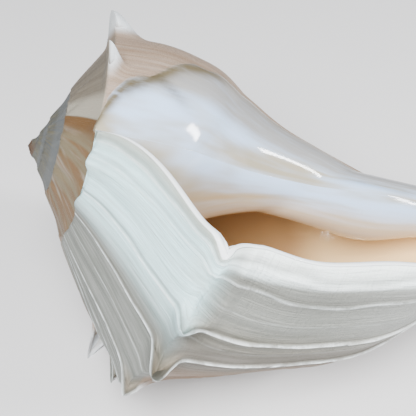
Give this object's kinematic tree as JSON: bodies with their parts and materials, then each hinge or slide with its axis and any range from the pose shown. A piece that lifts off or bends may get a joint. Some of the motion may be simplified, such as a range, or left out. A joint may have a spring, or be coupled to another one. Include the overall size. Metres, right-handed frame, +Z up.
{
  "type": "whelk shell",
  "caption": "Left-handed spiral seashell with a low pointed spire, a knobbed shoulder, a wide flaring aperture and a long tapering siphonal canal.",
  "frame": {"origin": "centre of the bounding box's footprint, on the surface that the shell rests on", "axes": "+X from the apex towards the end of the canal, +Z up with the shell lying on its back and its aperture open upwards, +Y away from the outer lip"},
  "size_m": [0.2114, 0.156, 0.121],
  "materials": {
    "shell": "chalky white outside with grey-brown streaks on the spire, glossy white callus, peach inside"
  },
  "bodies": {
    "root": {"shell": "shell"}
  },
  "joints": []
}
